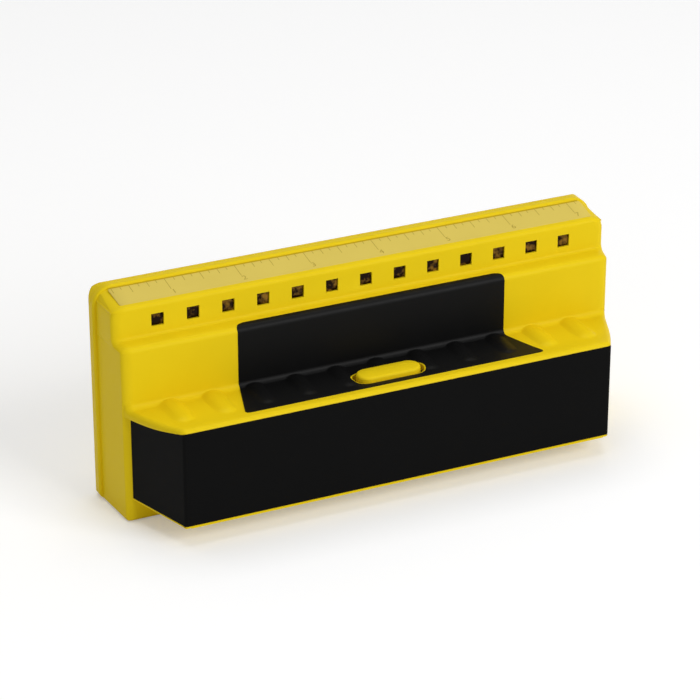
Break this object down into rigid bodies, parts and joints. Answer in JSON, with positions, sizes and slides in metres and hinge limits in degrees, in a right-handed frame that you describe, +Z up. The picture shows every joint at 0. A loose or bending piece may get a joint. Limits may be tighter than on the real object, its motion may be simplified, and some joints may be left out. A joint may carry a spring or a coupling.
{
  "type": "stud finder",
  "caption": "Handheld wall scanner with a row of square indicator windows, an inch ruler along its top edge, a ridged grip with a push button, and a battery handle.",
  "frame": {"origin": "middle of the overall box, on the bottom edge that the tool stands on", "axes": "+X along the ruler from its zero end, +Y into the wall, +Z up, away from the bottom edge"},
  "size_m": [0.1882, 0.05, 0.0796],
  "materials": {
    "yellow_plastic": "fine moulded texture, satin",
    "black_plastic": "fine moulded texture, satin",
    "grip_rubber": "smooth soft-touch, matt",
    "ruler_inlay": "matt, with printed ticks and numbers",
    "lens_smoke": "clear smoke-brown moulding",
    "lamp_red": "clear tinted lamp body",
    "circuit_board": "opaque glass-fibre laminate under a green solder mask",
    "chip_black": "moulded package",
    "chip_tan": "small ceramic parts",
    "connector_cream": "plain moulding",
    "tray_black": "plain moulding",
    "cell_case": "printed metal can",
    "steel": "zinc plated",
    "red_wire": "insulated wire",
    "black_wire": "insulated wire",
    "white_wire": "insulated wire"
  },
  "bodies": {
    "casing": {"front_housing": "yellow_plastic", "rear_cover": "yellow_plastic", "grip_insert": "grip_rubber", "handle_cover": "black_plastic", "ruler_strip": "ruler_inlay", "lens_strip": "lens_smoke", "light_shroud": "yellow_plastic", "indicator_leds": "lamp_red", "sensor_board": "circuit_board", "microcontroller": "chip_black", "board_components": "chip_tan", "lead_connector": "connector_cream", "switch_board": "circuit_board", "push_switch": "chip_black", "battery_tray": "tray_black", "aa_cell_left": "cell_case", "aa_cell_right": "cell_case", "spring_contact": "steel", "flat_contact": "steel", "red_lead": "red_wire", "black_lead": "black_wire", "switch_leads": "white_wire", "housing_screws": "steel", "board_screws": "steel", "tray_screws": "steel"},
    "power_button": {"power_button": "yellow_plastic"},
    "switch_plunger": {"switch_plunger": "connector_cream"},
    "battery_door": {"battery_door": "yellow_plastic"}
  },
  "joints": [
    {"name": "power_button_press", "type": "slide", "parent": "casing", "child": "power_button", "axis": [0, 0, -1], "range_m": [0, 0.001], "stiffness_N_per_m": 1500, "springref_m": -0.0003},
    {"name": "switch_plunger_press", "type": "slide", "parent": "casing", "child": "switch_plunger", "axis": [0, 0, -1], "range_m": [0, 0.001]},
    {"name": "battery_door_off", "type": "slide", "parent": "casing", "child": "battery_door", "axis": [0, 0, -1], "range_m": [0, 0.02]}
  ],
  "couplings": [
    {"joint": "switch_plunger_press", "follows": "power_button_press", "ratio": 1}
  ]
}
